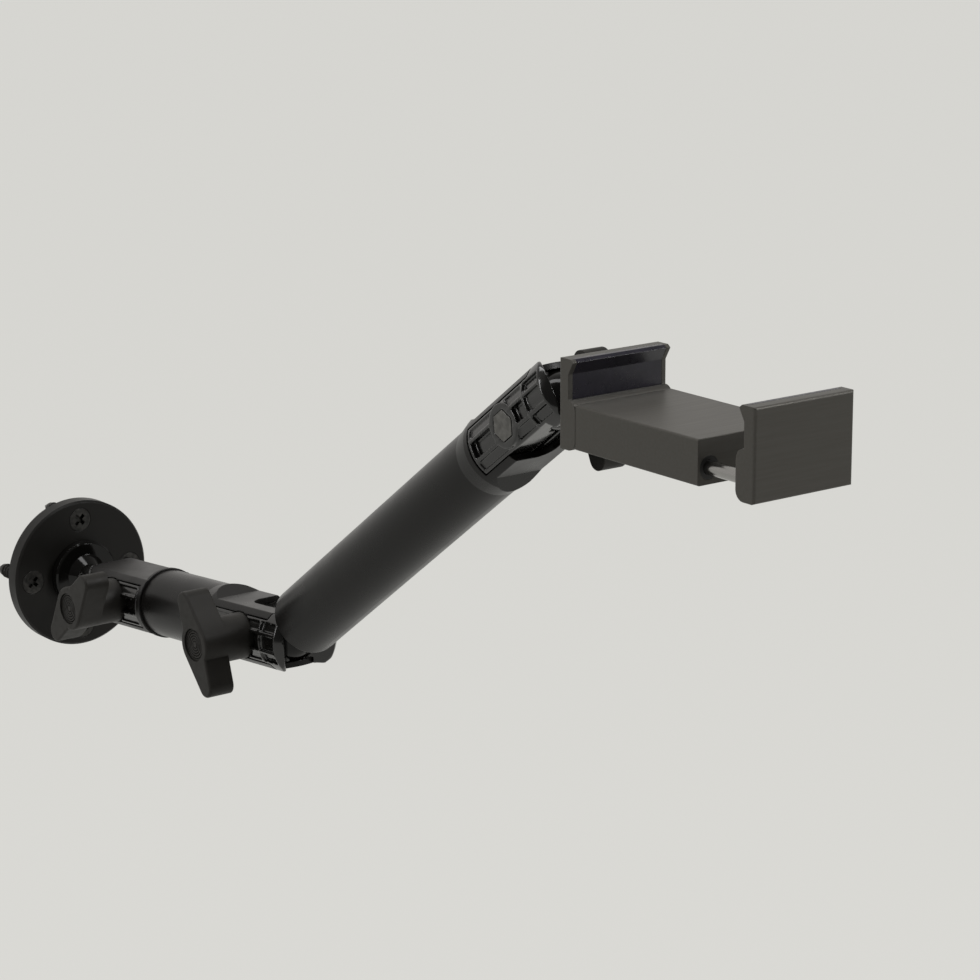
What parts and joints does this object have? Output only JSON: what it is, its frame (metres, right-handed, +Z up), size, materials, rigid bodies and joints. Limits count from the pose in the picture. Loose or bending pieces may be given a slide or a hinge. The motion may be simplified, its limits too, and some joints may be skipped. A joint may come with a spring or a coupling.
{
  "type": "wall mount",
  "caption": "Wall mount with a round screw plate, ball-jointed tubular arms with wing-knob clamps, and a cradle with padded jaws that slides to fit a flat device.",
  "frame": {"origin": "centre of the wall plate's back face, where it meets the wall", "axes": "+Z up, +Y into the wall, so the arms reach out along -Y, and +X along the wall"},
  "size_m": [0.057, 0.4019, 0.1573],
  "materials": {
    "plate_black": "satin black powder coat",
    "screw_black": "black zinc",
    "stud_black": "gloss black",
    "cast_black": "gloss black die casting",
    "tube_black": "satin black anodised",
    "fastener_steel": "zinc plated",
    "rod_steel": "ground and polished",
    "knob_plastic": "fine moulded grain",
    "bush_black": "smooth polymer",
    "insert_brass": "turned",
    "cradle_black": "brushed and black anodised",
    "pad_rubber": "smooth, slightly glossy"
  },
  "bodies": {
    "wall": {"wall_plate": "plate_black", "wall_screws": "screw_black"},
    "swivel_stud": {"ball_stud_1": "stud_black", "stud_screw_1": "fastener_steel"},
    "first_arm": {"arm_1_tube": "tube_black", "arm_1_end_fitting": "tube_black", "clamp_1_knob_jaw": "cast_black", "clamp_1_nut_jaw": "cast_black", "clamp_1_bolt": "fastener_steel", "clamp_1_washer": "fastener_steel", "clamp_2_knob_jaw": "cast_black", "clamp_2_nut_jaw": "cast_black", "clamp_2_bolt": "fastener_steel", "clamp_2_washer": "fastener_steel"},
    "knob_1": {"wing_knob_1": "knob_plastic", "knob_insert_1": "insert_brass"},
    "knob_2": {"wing_knob_2": "knob_plastic", "knob_insert_2": "insert_brass"},
    "elbow_stud": {"ball_stud_2": "stud_black", "stud_nut_2": "fastener_steel"},
    "second_arm": {"arm_2_tube": "tube_black", "arm_2_end_plug": "cast_black", "clamp_3_knob_jaw": "cast_black", "clamp_3_nut_jaw": "cast_black", "clamp_3_bolt": "fastener_steel", "clamp_3_washer": "fastener_steel"},
    "knob_3": {"wing_knob_3": "knob_plastic", "knob_insert_3": "insert_brass"},
    "wrist_stud": {"ball_stud_3": "stud_black"},
    "cradle": {"cradle_base": "cradle_black", "rear_jaw": "cradle_black", "rear_jaw_pad": "pad_rubber", "rod_bushes": "bush_black", "cradle_screws": "screw_black"},
    "sliding_jaw": {"front_jaw": "cradle_black", "front_jaw_pad": "pad_rubber", "guide_rods": "rod_steel", "rod_grub_screws": "screw_black"}
  },
  "joints": [
    {"name": "plate_swivel", "type": "hinge", "parent": "wall", "child": "swivel_stud", "pos_m": [0, -0.0327, 0], "axis": [0, 1, 0], "continuous": true},
    {"name": "shoulder_tilt", "type": "hinge", "parent": "swivel_stud", "child": "first_arm", "pos_m": [0, -0.0327, 0], "axis": [-1, 0, 0], "range_deg": [-92, 23]},
    {"name": "elbow_tilt", "type": "hinge", "parent": "first_arm", "child": "elbow_stud", "pos_m": [0, -0.14031, 0.00915], "axis": [-1, 0, 0], "range_deg": [-59, 64]},
    {"name": "arm_roll", "type": "hinge", "parent": "elbow_stud", "child": "second_arm", "pos_m": [0, -0.14031, 0.00915], "axis": [0, -0.8059, 0.592], "continuous": true},
    {"name": "wrist_tilt", "type": "hinge", "parent": "second_arm", "child": "wrist_stud", "pos_m": [0, -0.28095, 0.11246], "axis": [-1, 0, 0], "range_deg": [-58, 63]},
    {"name": "cradle_swivel", "type": "hinge", "parent": "wrist_stud", "child": "cradle", "pos_m": [0, -0.28095, 0.11246], "axis": [0, 1, 0], "continuous": true},
    {"name": "knob_1_turn", "type": "hinge", "parent": "first_arm", "child": "knob_1", "pos_m": [0, -0.04565, 0.0011], "axis": [1, 0, 0], "continuous": true},
    {"name": "knob_2_turn", "type": "hinge", "parent": "first_arm", "child": "knob_2", "pos_m": [0, -0.12736, 0.00805], "axis": [1, 0, 0], "continuous": true},
    {"name": "knob_3_turn", "type": "hinge", "parent": "second_arm", "child": "knob_3", "pos_m": [0, -0.27047, 0.10476], "axis": [1, 0, 0], "continuous": true},
    {"name": "jaw_slide", "type": "slide", "parent": "cradle", "child": "sliding_jaw", "axis": [0, -1, 0], "range_m": [-0.013, 0.016]}
  ]
}
